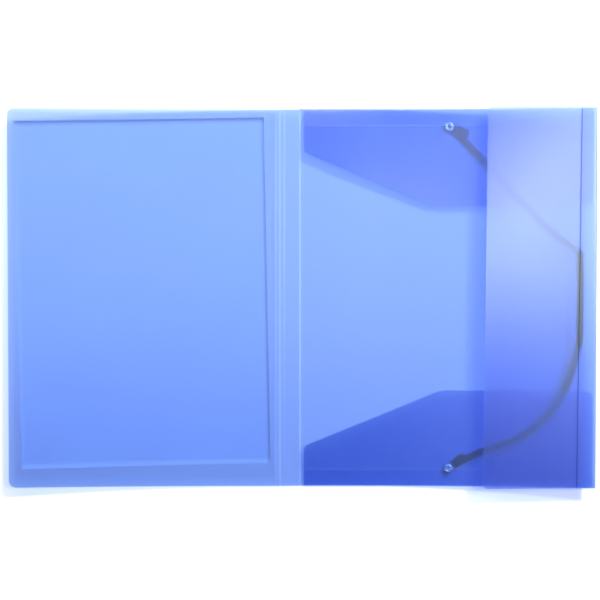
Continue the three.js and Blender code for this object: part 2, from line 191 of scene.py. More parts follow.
def shaded(clear, y, edgeShare=1.0):
    # painted highlight: the edges glow more at the head than at the foot, and their glow fades inwards by
    # powers of e
    side = np.where(y > 0, 1, shading["footGlow"])
    fade = np.exp((np.abs(y) - folder["halfHeight"]) / shading["edgeFade"])
    glow = edgeShare * shading["edgeGlow"] * fade * side
    # painted shade: the tint deepens from the middle down to the foot by the usual ease, where the light
    # falls off
    depth = shading["paintedFootShade"] * (1 - smooth(y, shading["footEnd"], 0))
    return np.maximum(clear, glow) - depth


def scoreProfile(distance, width):
    # a rounded groove: one at its middle and nothing half its width away
    return np.clip(1 - (2 * distance / width) ** 2, 0, 1)


def newMaterial(name):
    mat = bpy.data.materials.new(name)
    mat.use_nodes = True
    mat.node_tree.nodes.clear()
    return mat, mat.node_tree.nodes, mat.node_tree.links


def mathNode(nodes, operation, *constants):
    # the constants fill the sockets in order, and None leaves one for a link
    node = nodes.new("ShaderNodeMath")
    node.operation = operation
    for socket, value in zip(node.inputs, constants):
        if value is not None:
            socket.default_value = value
    return node


def colorMix(nodes, first=None, second=None):
    node = nodes.new("ShaderNodeMix")
    node.data_type = "RGBA"
    for socket, color in (("A", first), ("B", second)):
        if color is not None:
            node.inputs[socket].default_value = (*color, 1)
    return node


def bumpNode(nodes, strength, distance):
    bump = nodes.new("ShaderNodeBump")
    bump.inputs["Strength"].default_value = strength
    bump.inputs["Distance"].default_value = distance
    return bump


def letLampsThrough(mat, surface, passing, out):
    # shadow and diffuse rays meet the plain see-through shader, and all others meet the surface
    n, link = mat.node_tree.nodes, mat.node_tree.links.new
    path = n.new("ShaderNodeLightPath")
    rays = mathNode(n, "MAXIMUM")
    mix = n.new("ShaderNodeMixShader")
    link(path.outputs["Is Shadow Ray"], rays.inputs[0])
    link(path.outputs["Is Diffuse Ray"], rays.inputs[1])
    link(rays.outputs[0], mix.inputs["Fac"])
    link(surface.outputs["BSDF"], mix.inputs[1])
    link(passing.outputs["BSDF"], mix.inputs[2])
    link(mix.outputs["Shader"], out.inputs["Surface"])


# Grain that every material but the elastic's uses
grainLook = {"fineScale": 900.0, "driftScale": 14.0, "fineDetail": 3.0, "driftDetail": 2.0}


def grainGroup():
    # fine satin grain as a height, and a slow drift that clouds colour and gloss a little
    group = bpy.data.node_groups.new("satinGrain", "ShaderNodeTree")
    for name, value in (("Fine Scale", grainLook["fineScale"]), ("Drift Scale", grainLook["driftScale"])):
        socket = group.interface.new_socket(name=name, in_out="INPUT", socket_type="NodeSocketFloat")
        socket.default_value = value
    for name in ("Height", "Drift"):
        group.interface.new_socket(name=name, in_out="OUTPUT", socket_type="NodeSocketFloat")
    n, link = group.nodes, group.links.new
    enter, leave = n.new("NodeGroupInput"), n.new("NodeGroupOutput")
    coord = n.new("ShaderNodeTexCoord")
    fine, drift = n.new("ShaderNodeTexNoise"), n.new("ShaderNodeTexNoise")
    fine.inputs["Detail"].default_value = grainLook["fineDetail"]
    drift.inputs["Detail"].default_value = grainLook["driftDetail"]
    link(coord.outputs["Object"], fine.inputs["Vector"])
    link(coord.outputs["Object"], drift.inputs["Vector"])
    link(enter.outputs["Fine Scale"], fine.inputs["Scale"])
    link(enter.outputs["Drift Scale"], drift.inputs["Scale"])
    link(fine.outputs["Fac"], leave.inputs["Height"])
    link(drift.outputs["Fac"], leave.inputs["Drift"])
    return group


grain = grainGroup()

# How the frosted sheet colours what is seen through it, and how it answers the light
sheetLook = {
    "tint": (0.356, 0.496, 0.886),
    "clearAndGlowTint": (0.76, 0.87, 1.0),
    "paintedShadeTint": (0.05, 0.08, 0.25),
    "passing": 0.975,
    "roughness": 0.305,
    "roughDrift": 0.02,
    "ior": 1.72,
    "reflect": 0.46,
    "seeThrough": 0.992,
    "grainScale": 900.0,
    "grainDepth": 0.16,
    "grainHeight": 0.0002,
    "faceGamma": 0.5,
}


def sheetMaterial(name, look):
    # what the eye sees goes through a rough, tinted sheet, and lamps reach what lies below by a plain tint
    mat, n, links = newMaterial(name)
    link = links.new
    out = n.new("ShaderNodeOutputMaterial")
    passing = n.new("ShaderNodeBsdfTransparent")
    satin = n.new("ShaderNodeBsdfPrincipled")
    texture = n.new("ShaderNodeGroup")
    texture.node_tree = grain
    texture.inputs["Fine Scale"].default_value = look["grainScale"]
    bump = bumpNode(n, look["grainDepth"], look["grainHeight"])
    rough = n.new("ShaderNodeMapRange")
    rough.inputs["To Min"].default_value = look["roughness"] - look["roughDrift"]
    rough.inputs["To Max"].default_value = look["roughness"] + look["roughDrift"]
    # the attribute goes towards the lighter tint above nought, for clearer welds and scores and for painted
    # highlight, and towards the painted shade tint below it
    clear = n.new("ShaderNodeAttribute")
    clear.attribute_name = "clear"
    tint = colorMix(n, look["tint"], look["clearAndGlowTint"])
    dark = mathNode(n, "MULTIPLY", None, -1.0)
    shade = colorMix(n, None, look["paintedShadeTint"])
    # each of a sheet's two faces takes half of the tint, which is its square root
    face = n.new("ShaderNodeGamma")
    face.inputs["Gamma"].default_value = look["faceGamma"]
    dim = n.new("ShaderNodeVectorMath")
    dim.operation = "SCALE"
    dim.inputs["Scale"].default_value = look["passing"]
    # a high index spreads what is seen through it, and the tint holds the reflection at a plastic's level
    satin.inputs["IOR"].default_value = look["ior"]
    satin.inputs["Specular Tint"].default_value = (*[look["reflect"]] * 3, 1)
    satin.inputs["Transmission Weight"].default_value = look["seeThrough"]
    link(texture.outputs["Height"], bump.inputs["Height"])
    link(texture.outputs["Drift"], rough.inputs["Value"])
    link(clear.outputs["Fac"], tint.inputs["Factor"])
    link(clear.outputs["Fac"], dark.inputs[0])
    link(dark.outputs[0], shade.inputs["Factor"])
    link(tint.outputs["Result"], shade.inputs["A"])
    link(shade.outputs["Result"], satin.inputs["Base Color"])
    link(shade.outputs["Result"], face.inputs["Color"])
    link(face.outputs["Color"], dim.inputs[0])
    link(dim.outputs["Vector"], passing.inputs["Color"])
    link(bump.outputs["Normal"], satin.inputs["Normal"])
    link(rough.outputs["Result"], satin.inputs["Roughness"])
    letLampsThrough(mat, satin, passing, out)
    return mat


def plainMaterial(name, look):
    # an even colour that drifts a little darker, with fine grain
    mat, n, links = newMaterial(name)
    link = links.new
    out = n.new("ShaderNodeOutputMaterial")
    surface = n.new("ShaderNodeBsdfPrincipled")
    texture = n.new("ShaderNodeGroup")
    texture.node_tree = grain
    texture.inputs["Fine Scale"].default_value = look["grainScale"]
    bump = bumpNode(n, look["grainDepth"], look["grainHeight"])
    tone = colorMix(n, [part * look["darker"] for part in look["color"]], look["color"])
    surface.inputs["Metallic"].default_value = look["metallic"]
    surface.inputs["Roughness"].default_value = look["roughness"]
    link(texture.outputs["Height"], bump.inputs["Height"])
    link(texture.outputs["Drift"], tone.inputs["Factor"])
    link(tone.outputs["Result"], surface.inputs["Base Color"])
    link(bump.outputs["Normal"], surface.inputs["Normal"])
    link(surface.outputs["BSDF"], out.inputs["Surface"])
    return mat


sheet = sheetMaterial("frostedSheet", sheetLook)
print("materials made")


def finishPiece(piece, material, body, node):
    piece.data.materials.append(material)
    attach(piece, body)
    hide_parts(node)


# Cover: a curled sheet with two round corners and a score line beside the spine
cover = {
    "width": 229.0,
    "corner": 6.0,
    "cornerSteps": 14,
    "rows": 70,
    "columns": ((0.15, 0.3, 2), (0.6, 2.1, 5), (2.4, 3.6, 9), (4.4, 228.6, 90), (228.84, 229.0, 2)),
    "score": 3.0,
    "scoreWidth": 1.2,
    "scoreDepth": 0.18,
    "scoreGlow": 0.07,
    "creaseReach": 0.6,
    "creaseGlow": 0.3,
}


def makeCover():
    straight = folder["halfHeight"] - cover["corner"]
    corner = straight + cover["corner"] * np.cos(line(0, math.pi / 2, cover["cornerSteps"]))
    rim = folder["halfHeight"] - folder["rimRow"]
    y = joined(line(-straight, straight, cover["rows"]), corner, -corner, rim, -rim)
    near = folder["creaseGap"]
    d = table(cover["columns"])
    # near the head and foot the outer edge follows a quarter circle
    past = np.clip(np.abs(y) - straight, 0, cover["corner"])
    trimmed = cover["corner"] - np.sqrt(cover["corner"] ** 2 - past**2)
    share = (cover["width"] - trimmed) / cover["width"]
    distance = near + (d[None, :] - near) * share[:, None]
    x, z = coverMiddle(distance, 0)
    middle = np.stack([x, np.broadcast_to(y[:, None], x.shape), z], axis=2)[:, ::-1]
    groove = scoreProfile(distance - cover["score"], cover["scoreWidth"])[:, ::-1]
    # painted highlight: the crease by the spine glows and fades over its reach, and the score groove is
    # lighter, partly for its thinner sheet and partly as painted highlight
    glow = cover["creaseGlow"] * (1 - smooth(distance, 0, cover["creaseReach"]))[:, ::-1]
    clear = shaded(np.maximum(cover["scoreGlow"] * groove, glow), middle[..., 1])
    piece = shell("coverSkin", middle, folder["thickness"] - cover["scoreDepth"] * groove, clear)
    finishPiece(piece, sheet, "cover", "cover_sheet")


makeCover()

# Spine: a narrow strip between two creases, with one score line
spine = {
    "rows": ((-160, -159.88, 2), (-158, 158, 60), (159.88, 160, 2)),
    "columns": (
        (0.15, 0.3, 2),
        (0.6, 3.2, 5),
        (3.4, 4.6, 9),
        (5.2, 15.6, 8),
        (15.7, 16.7, 5),
        (16.85, 16.85, 1),
    ),
    "score": 4.0,
    "scoreWidth": 1.2,
    "scoreDepth": 0.18,
    "scoreGlow": 0.06,
    "coverReach": 0.6,
    "coverGlow": 0.36,
    "backReach": 0.9,
    "backGlow": 0.34,
}


def makeSpine():
    width = folder["spineWidth"]
    gap = folder["creaseGap"]
    y, u = table(spine["rows"]), table(spine["columns"])
    x = -width + np.broadcast_to(u, (len(y), len(u)))
    # the strip slopes evenly from the cover's height down to the panel's
    z = folder["thickness"] / 2 + folder["coverRise"] * (-x - gap) / (width - 2 * gap)
    middle = np.stack([x, np.broadcast_to(y[:, None], x.shape), z], axis=2)
    groove = scoreProfile(u - spine["score"], spine["scoreWidth"])
    # painted highlight: both creases glow and fade over their reach, and the score groove is lighter, partly
    # for its thinner sheet and partly as painted highlight
    coverGlow = spine["coverGlow"] * (1 - smooth(u, 0, spine["coverReach"]))
    backGlow = spine["backGlow"] * (1 - smooth(width - u, 0, spine["backReach"]))
    glow = np.maximum(coverGlow, backGlow)
    clear = shaded(np.maximum(spine["scoreGlow"] * groove, glow), middle[..., 1])
    piece = shell("spineSkin", middle, folder["thickness"] - spine["scoreDepth"] * groove, clear)
    finishPiece(piece, sheet, "spine", "spine_strip")


makeSpine()

# Back panel with the top and bottom flaps, folded from one sheet
flaps = {
    "foldRadius": 0.5,
    "gusset": 14.5,
    "reach": 82.0,
    "inset": 3.2,
    "corner": 6.0,
    "cornerSteps": 14,
    "spineCorner": 1.3,
    "shoulderEase": 2.4,
    "easeRun": 0.95,
    "gussetSpring": 3.2,
    "spring": 7.2,
    "spineSide": {1: 37.0, -1: 35.0},
    "shoulder": {1: 112.0, -1: 119.0},
    "scoreWidth": 1.4,
    "scoreDepth": 0.18,
    "scoreGlow": 0.12,
    "bendWidth": 1.0,
    "creaseReach": 0.9,
    "creaseGlow": 0.34,
    "sideShade": -0.3,
    "headShade": 0.8,
    "headBand": 0.45,
    "headFade": (60.0, 120.0),
    "columns": 96,
    "columnShares": (0.0008, 0.002),
    "panelRows": 44,
    "foldSteps": 15,
    "panelStart": {1: 0.0, -1: 1.5},
    # rows past the fold: over the gusset's crease, where the slant starts, on the faces, by the free edge
    "creaseRows": ((-0.8, 0.8, 9),),
    "slantRows": ((-4.0, 4.0, 13),),
    "faceRows": {
        1: ((1.6, 13.3, 9), (15.9, 32.0, 8), (43.0, 75.0, 18)),
        -1: ((1.6, 13.3, 9), (15.9, 30.0, 8), (41.0, 75.0, 18)),
    },
    "endRows": (0.9, 0.5, 0.12),
    "slitHalf": (3.4, 1.8),
    "hole": 1.95,
    "holeSteps": 25,
    "cutRange": (-1.0, 0.78),
}


def flapEdges(reach, side):
    # left and right ends of a flap's row at a distance from the outer fold
    rise = (flaps["shoulder"][side] - flaps["inset"]) / (flaps["reach"] - flaps["spineSide"][side])
    past = reach - flaps["spineSide"][side]
    # a hyperbola eases the corner beside the spine
    left = flaps["inset"] + rise * (past + np.sqrt(past**2 + flaps["spineCorner"] ** 2)) / 2
    # a parabola eases the slanted edge into the free edge
    ease = np.clip(1 + (reach - flaps["reach"]) / flaps["easeRun"], 0, 1)
    left = left + flaps["shoulderEase"] * ease**2
    end = np.clip(reach - (flaps["reach"] - flaps["corner"]), 0, flaps["corner"])
    # a quarter circle rounds the far corner
    right = folder["flapEnd"] - (flaps["corner"] - np.sqrt(flaps["corner"] ** 2 - end**2))
    return left, right


def foldedHalf(side):
    # rows from the panel's middle out to the fold, over it, and back to the flap's free edge
    radius = flaps["foldRadius"]
    foldY = folder["halfHeight"] - folder["thickness"] / 2 - radius
    panel = line(flaps["panelStart"][side], foldY - radius, flaps["panelRows"])
    angle = line(-math.pi / 2, math.pi / 2, flaps["foldSteps"])
    cornerAngle = line(0, math.pi / 2, flaps["cornerSteps"])
    reach = joined(
        table(flaps["creaseRows"]) + flaps["gusset"],
        table(flaps["slantRows"]) + flaps["spineSide"][side],
        table(flaps["faceRows"][side]),
        flaps["reach"] - flaps["corner"] * (1 - np.cos(cornerAngle)),
        flaps["reach"] - np.array(flaps["endRows"]),
    )
    y = np.concatenate([panel, foldY + radius * np.cos(angle), folder["halfHeight"] - reach])
    flat = np.zeros(len(panel))
    level = np.concatenate([flat, radius * (1 + np.sin(angle)), np.full(len(reach), 2 * radius)])
    reaches = np.concatenate([flat, np.zeros(len(angle)), reach])
    turn = np.concatenate([flat, smooth(angle, 0, math.pi / 2), np.ones(len(reach))])
    left, right = flapEdges(reaches, side)
    left = folder["creaseGap"] + (left - folder["creaseGap"]) * turn
    right = folder["panelEnd"] + (right - folder["panelEnd"]) * turn
    return y * side, level, reaches, left, right


def makePanel():
    bottom, top = foldedHalf(-1), foldedHalf(1)
    y, level, reach, left, right = (np.concatenate([b[::-1], t]) for b, t in zip(bottom, top))
    t = insetColumns(flaps["columns"], *flaps["columnShares"])
    x = left[:, None] + (right - left)[:, None] * t
    share = springShare(x)
    onward = reach[:, None]
    # the gusset and the flap rise evenly, each at its own rate, and a hyperbola eases the crease between them
    rise = flaps["gussetSpring"] * np.clip(onward / flaps["gusset"], 0, 1)
    run = flaps["reach"] - flaps["gusset"]
    past = onward - flaps["gusset"]
    eased = (past + np.sqrt(past**2 + flaps["bendWidth"] ** 2)) / 2
    rise = rise + flaps["spring"] * eased / run * (onward > 0)
    z = folder["thickness"] / 2 + level[:, None] + rise * share + lift(x)
    middle = np.stack([x, np.broadcast_to(y[:, None], x.shape), z], axis=2)
    groove = scoreProfile(past, flaps["scoreWidth"]) * np.ones_like(x)
    # painted highlight: the crease by the spine glows on the panel, and the gusset's score is lighter, partly
    # for its thinner sheet and partly as painted highlight
    glow = flaps["creaseGlow"] * (1 - smooth(x, 0, flaps["creaseReach"])) * (onward == 0)
    clear = shaded(np.maximum(flaps["scoreGlow"] * groove, glow), middle[..., 1])
    # painted shade: the cut edge beside the spine is a little darker, and so is the head's fold until it
    # nears the fore edge
    clear[:, 0] = np.where(reach > flaps["gusset"], flaps["sideShade"], clear[:, 0])
    headFold = (np.abs(level - flaps["foldRadius"]) < flaps["headBand"]) & (y > 0)
    headShade = flaps["headShade"] * (1 - smooth(x, *flaps["headFade"]))
    clear = np.where(headFold[:, None], clear - headShade, clear)
    piece = shell("panelSkin", middle, folder["thickness"] - flaps["scoreDepth"] * groove, clear)
    cutOpenings(piece)
    finishPiece(piece, sheet, "back", "back_panel_and_end_flaps")


def roundOutline(radius):
    angle = line(0, 2 * math.pi, flaps["holeSteps"])[:-1]
    return radius * np.column_stack([np.cos(angle), np.sin(angle)])


def cut(piece, outline, low, high):
    # takes an upright prism on a flat outline out of a piece
    count = len(outline)
    points = np.concatenate([np.column_stack([outline, np.full(count, float(h))]) for h in (low, high)])
    ring = np.arange(count)
    after = np.roll(ring, -1)
    sides = np.stack([ring, after, after + count, ring + count], axis=1)
    lids = [ring[::-1].tolist(), (ring + count).tolist()]
    cutter = addPolygons("cutter", points, sides.tolist() + lids)
    change = piece.modifiers.new("cut", "BOOLEAN")
    change.operation = "DIFFERENCE"
    change.solver = "EXACT"
    change.object = cutter
    bpy.context.view_layer.update()
    evaluated = piece.evaluated_get(bpy.context.evaluated_depsgraph_get())
    piece.data = bpy.data.meshes.new_from_object(evaluated)
    piece.modifiers.clear()
    bpy.data.objects.remove(cutter)


def cutOpenings(piece):
    # the slits and the eyelets' holes go through the panel and stop short of the flaps above it
    wide, tall = flaps["slitHalf"]
    slit = roundOutline(tall)
    slit[:, 0] += (wide - tall) * np.sign(slit[:, 0])
    openings = ((slit, folder["slit"]), (roundOutline(flaps["hole"]), folder["eyelet"]))
    low, high = flaps["cutRange"]
    for side in (1, -1):
        for outline, (x, y) in openings:
            under = float(lift(x))
            cut(piece, outline + (x, y * side), under + low, under + high)


makePanel()
print("cover, spine and panel built")

# Fore-edge flap: a round fold, a gusset, a crease, and the flap that slopes up from it
fore = {
    "foldRadius": 0.9,
    "width": 80.0,
    "slope": math.radians(4.6),
    "corner": 4.5,
    "cornerSteps": 12,
    "foldSteps": 21,
    "gusset": 13.35,
    # runs across the gusset, over the crease and along the flap, and the columns from foot to head
    "gussetRows": ((0.7, 12.4, 10),),
    "creaseRows": ((-0.7, 0.7, 9),),
    "flapRows": ((1.2, 74.5, 40), (79.88, 79.88, 1)),
    "columns": (
        (-160, -159.88, 2),
        (-159.3, -159.3, 1),
        (-160, 160, 150),
        (159.3, 159.3, 1),
        (159.88, 160, 2),
    ),
    "bendWidth": 0.35,
    "scoreWidth": 1.0,
    "scoreDepth": 0.18,
    "twist": 1.6,
    "sag": 3.0,
    "foldGlow": 0.2,
    "foldFade": 1.8,
    "rimGlow": 0.42,
    "rimFade": 0.5,
    "edgeShare": 1.4,
    "creaseLine": 0.8,
    "creaseShade": 0.9,
}


def makeForeFlap():
    half = folder["halfHeight"]
    centreX = folder["panelEnd"] + 2 * folder["creaseGap"]
    foldZ = folder["foreLift"] + folder["thickness"] / 2 + fore["foldRadius"]
    level = foldZ + fore["foldRadius"]
    angle = line(-math.pi / 2, math.pi / 2, fore["foldSteps"])
    gusset, crease = table(fore["gussetRows"]), table(fore["creaseRows"])
    cornerAngle = line(0, math.pi / 2, fore["cornerSteps"])
    corner = fore["width"] - fore["corner"] * (1 - np.cos(cornerAngle))
    flap = joined(table(fore["flapRows"]), corner)
    y = table(fore["columns"])
    # the crease runs a little askew, further out at the head
    creaseX = folder["foreCrease"] + fore["twist"] * y / half
    beforeCrease, pastCrease = np.zeros(len(angle) + len(gusset)), np.zeros(len(flap))
    t = np.concatenate([np.zeros(len(angle)), gusset / fore["gusset"], np.ones(len(crease) + len(flap))])
    run = np.concatenate([beforeCrease, crease, flap])
    fold = np.concatenate([np.cos(angle), np.zeros(len(t) - len(angle))]) * fore["foldRadius"]
    onto = centreX + (creaseX[None, :] - centreX) * t[:, None]
    # past the crease the sheet turns smoothly to its slope: a hyperbola through the bend
    bend = (run + np.sqrt(run**2 + fore["bendWidth"] ** 2)) / 2
    x = onto + fold[:, None] - run[:, None] * np.where(run > 0, math.cos(fore["slope"]), 1)[:, None]
    turned = foldZ + fore["foldRadius"] * np.sin(angle)
    slope = level + bend[len(beforeCrease):] * math.sin(fore["slope"])
    z = np.concatenate([turned, np.full(len(gusset), level), slope])
    # the free edge bows: it sinks towards the head and foot by the square of the distance from the middle
    z = z[:, None] - fore["sag"] * (np.clip(run, 0, None) / fore["width"])[:, None] * (y / half) ** 2
    past = np.clip(run - (fore["width"] - fore["corner"]), 0, fore["corner"])
    trimmed = fore["corner"] - np.sqrt(np.maximum(fore["corner"] ** 2 - past**2, 0))
    yy = y[None, :] * ((half - trimmed) / half)[:, None]
    middle = np.stack([x, yy, z], axis=2)
    groove = np.concatenate([beforeCrease, scoreProfile(crease, fore["scoreWidth"]), pastCrease])
    thickness = np.broadcast_to((folder["thickness"] - fore["scoreDepth"] * groove)[:, None], x.shape)
    # painted highlight: the fold glows along its outside, and fades inwards over the gusset by powers of e
    foldFade = np.concatenate([np.ones(len(angle)), np.exp(-gusset / fore["foldFade"])])
    foldGlow = np.concatenate([fore["foldGlow"] * foldFade, np.zeros(len(crease) + len(flap))])
    # painted highlight: the cut edges glow too, and fade in the same way
    free = np.exp((run - fore["width"]) / fore["rimFade"])[:, None]
    ends = np.exp((np.abs(y) - half) / fore["rimFade"]) * (run > 1)[:, None]
    glow = np.maximum(foldGlow[:, None], fore["rimGlow"] * np.maximum(free, ends))
    # painted shade: the crease is drawn as a fine dark line
    dark = np.concatenate([beforeCrease, scoreProfile(crease, fore["creaseLine"]), pastCrease])
    clear = shaded(glow, middle[..., 1], fore["edgeShare"]) - fore["creaseShade"] * dark[:, None]
    piece = shell("foreFlapSkin", middle[:, ::-1], thickness[:, ::-1], clear[:, ::-1])
    finishPiece(piece, sheet, "fore_edge", "fore_edge_flap")


makeForeFlap()

# Pocket film under the cover, pressed up to it along a weld on three sides
film = {
    "left": 224.0,
    "right": 5.0,
    "foot": -153.0,
    "mouth": 157.0,
    "corner": 5.0,
    "thickness": 0.12,
    "offset": -0.83,
    "weldOffset": -0.58,
    "weldWidth": 1.2,
    "weldEase": 0.9,
    # the weld's line: its middle from the film's edge, and where it starts to fade and ends, from that middle
    "weldMiddle": 0.75,
    "weldFade": (0.2, 0.5),
    "bevel": 0.05,
    "cornerSteps": 12,
    "rows": ((-152.9, -152.9, 1), (-152.7, -150.6, 9), (-148.0, 156.9, 60), (157.0, 157.0, 1)),
    "columns": ((0, 0.1, 2), (0.3, 2.4, 9), (4, 215, 70), (216.6, 218.7, 9), (218.9, 219, 2)),
    "look": {
        "ior": 1.49,
        "reflect": 1.0,
        "tint": (0.985, 0.99, 1.0),
        "clearAndGlowTint": (0.86, 0.90, 0.99),
        "seeThrough": 0.99,
        "roughness": 0.12,
        "passing": 0.99,
    },
}


def makeFilm():
    corner = film["corner"]
    foot = film["foot"] + corner * (1 - np.cos(line(0, math.pi / 2, film["cornerSteps"])))
    y = joined(foot, table(film["rows"]))
    past = np.clip(film["foot"] + corner - y, 0, corner)
    trimmed = corner - np.sqrt(np.maximum(corner**2 - past**2, 0))
    width = film["left"] - film["right"]
    d = table(film["columns"])
    share = (width - 2 * trimmed) / width
    distance = film["right"] + trimmed[:, None] + d[None, :] * share[:, None]
    # the distance to the nearest of the three welded sides
    sides = np.minimum(distance - film["right"], film["left"] - distance)
    edge = np.minimum(sides, (y - film["foot"])[:, None])
    # the film steps up to the cover inside the weld
    pressed = 1 - smooth(edge, film["weldWidth"], film["weldWidth"] + film["weldEase"])
    offset = film["offset"] + (film["weldOffset"] - film["offset"]) * pressed
    x, z = coverMiddle(distance, offset)
    middle = np.stack([x, np.broadcast_to(y[:, None], x.shape), z], axis=2)[:, ::-1]
    weld = (1 - smooth(np.abs(edge - film["weldMiddle"]), *film["weldFade"]))[:, ::-1]
    piece = shell("filmSkin", middle, film["thickness"], weld, bevel=film["bevel"])
    look = dict(sheetLook, **film["look"])
    finishPiece(piece, sheetMaterial("clearFilm", look), "cover", "pocket_film")


makeFilm()

# The sheet held in the pocket
insert = {
    "width": 210.0,
    "length": 293.5,
    "shift": (-1.5, 1.1),
    "turn": math.radians(1.1),
    "footGap": 9.5,
    "offset": -0.51,
    "thickness": 0.06,
    "bevel": 0.02,
    "steps": 60,
    "passing": 0.97,
    "look": {
        "color": (0.93, 0.95, 0.99),
        "darker": 0.9,
        "roughness": 0.85,
        "metallic": 0.0,
        "grainScale": 350.0,
        "grainDepth": 0.2,
        "grainHeight": 0.0003,
    },
}


def paperMaterial():
    # thin paper: matt, faintly fibrous, and lamps shine through it
    mat = plainMaterial("insertPaper", insert["look"])
    n = mat.node_tree.nodes
    surface = next(node for node in n if node.type == "BSDF_PRINCIPLED")
    out = next(node for node in n if node.type == "OUTPUT_MATERIAL")
    passing = n.new("ShaderNodeBsdfTransparent")
    passing.inputs["Color"].default_value = (*[insert["passing"]] * 3, 1)
    letLampsThrough(mat, surface, passing, out)
    return mat


def makeInsert():
    share = line(-0.5, 0.5, insert["steps"])
    u, v = np.meshgrid(share * insert["width"], share * insert["length"])
    leftX, rightX = coverMiddle(np.array((film["left"], film["right"])), 0)[0]
    centreX = (leftX + rightX) / 2 + insert["shift"][0]
    centreY = film["foot"] + insert["footGap"] + insert["length"] / 2 + insert["shift"][1]
    cos, sin = math.cos(insert["turn"]), math.sin(insert["turn"])
    x = centreX + u * cos - v * sin
    y = centreY + u * sin + v * cos
    # the distance along the cover's arc whose plan position is x
    distance = folder["curlRadius"] * np.arcsin((-folder["spineWidth"] - x) / folder["curlRadius"])
    px, pz = coverMiddle(distance, insert["offset"])
    middle = np.stack([px, y, pz], axis=2)
    piece = shell("insertSkin", middle, insert["thickness"], bevel=insert["bevel"])
    finishPiece(piece, paperMaterial(), "cover", "insert_sheet")


makeInsert()
print("fore-edge flap, film and insert built")

# Elastic: a ribbed section along one curve through the route, and a turned cut end at each eyelet
band = {
    "width": 5.8,
    "thickness": 0.6,
    "tabWidth": 6.2,
    "tabReach": 17.8,
    "tabTurn": {1: math.radians(-20), -1: math.radians(40)},
    "overhang": 4.0,
    "hole": 1.7,
    "under": -0.6,
    "inside": 1.1,
    "step": 0.5,
    "ribs": 7,
    "ribDepth": 0.05,
    "sectionSteps": 36,
    "sidePower": 7,
    "sideLeast": 0.02,
    "spanSteps": 24,
    "tabSteps": 42,
    "stopPlaces": (-4.0, 3.0),
    "stopUnder": -0.66,
    "cutRange": (-4.0, 1.0),
}


def bandStops():
    sx, sy = folder["slit"]
    ex, ey = folder["eyelet"]
    under, inside = band["under"], band["inside"]
    route = np.array([
        [ex + 13.5, ey - 12.4, under - 0.7],
        [ex + 32, ey - 31.0, under - 1.0],
        [ex + 49, ey - 49.5, under - 2.6],
        [ex + 66, ey - 67.0, under - 4.6],
        [ex + 83, ey - 84.5, under - 5.2],
        [sx - 14, sy + 11.4, under - 3.4],
        [sx - 6.2, sy + 4.9, under - 1.2],
        [sx - 1.4, sy + 2.8, under - 0.1],
        [sx, sy + 1.4, under + 0.15],
        [sx, sy - 1.4, inside - 0.15],
        [sx + 0.1, sy - 3.6, inside],
        [sx + 0.4, sy / 2, inside],
        [sx + 0.4, -sy / 2, inside],
        [sx + 0.1, -sy + 3.6, inside],
        [sx, -sy + 1.4, inside - 0.15],
        [sx, -sy - 1.4, under + 0.15],
        [sx - 0.5, -sy - 3.6, under - 0.1],
        [sx - 2.7, -sy - 12, under],
        [sx - 7, -sy - 27, under],
        [sx - 11, -sy - 38, under],
        [sx - 19, -sy - 52.5, under],
        [sx - 31.5, -sy - 67, under],
        [sx - 48, -sy - 79.5, under],
        [sx - 65, -sy - 86.5, under],
        [ex + 29, -ey + 15.0, under - 0.2],
        [ex + 14, -ey + 7.6, under - 0.66],
    ])
    tabs = []
    for side, following in ((1, route[0]), (-1, route[-1])):
        along = following[:2] - (ex, side * ey)
        along = along / np.linalg.norm(along)
        places = np.array(band["stopPlaces"])[:, None]
        flat = (ex, side * ey) + along * places
        tabs.append(np.column_stack([flat, np.full(len(flat), under + band["stopUnder"])]))
    stops = np.concatenate([tabs[0], route, tabs[1][::-1]])
    stops[:, 2] += lift(stops[:, 0])
    return stops


def curveThrough(stops, perSpan):
    # a cubic through each pair of stops, whose steps are the square roots of the stops' distances
    ends = np.concatenate([[2 * stops[0] - stops[1]], stops, [2 * stops[-1] - stops[-2]]])
    p0, p1, p2, p3 = ends[:-3], ends[1:-2], ends[2:-1], ends[3:]
    d0, d1, d2 = (np.sqrt(np.linalg.norm(b - a, axis=1))[:, None] for a, b in ((p0, p1), (p1, p2), (p2, p3)))
    t1 = ((p1 - p0) / d0 - (p2 - p0) / (d0 + d1) + (p2 - p1) / d1) * d1
    t2 = ((p2 - p1) / d1 - (p3 - p1) / (d1 + d2) + (p3 - p2) / d2) * d1
    t = line(0, 1, perSpan + 1)[:-1][None, :, None]
    a, b, c = 2 * p1 - 2 * p2 + t1 + t2, -3 * p1 + 3 * p2 - 2 * t1 - t2, t1
    points = ((a[:, None] * t + b[:, None]) * t + c[:, None]) * t + p1[:, None]
    return np.concatenate([points.reshape(-1, 3), stops[-1:]])


def ribbonSection(width):
    # a flat loop with round sides, whose two faces wave in even ribs by a cosine
    across = line(-1, 1, band["sectionSteps"])
    depth = band["ribDepth"]
    waves = depth * np.cos(across * math.pi * band["ribs"])
    side = np.sqrt(np.clip(1 - np.abs(across) ** band["sidePower"], band["sideLeast"], 1))
    height = band["thickness"] / 2 * side + waves - depth
    top = np.column_stack([across * width / 2, height])
    bottom = np.column_stack([across * width / 2, -height])
    return np.concatenate([top, bottom[::-1]])


# How the woven elastic looks
elasticLook = {
    "dark": (0.004, 0.005, 0.014),
    "light": (0.014, 0.017, 0.034),
    "roughness": 0.8,
    "specular": 0.2,
    "weaveScale": 0.55,
    "weaveDistortion": 0.6,
    "weaveDetail": 1.0,
    "fuzzScale": 3.0,
    "fuzzDetail": 4.0,
    "fuzzShare": 0.5,
    "bump": (0.5, 0.0001),
}


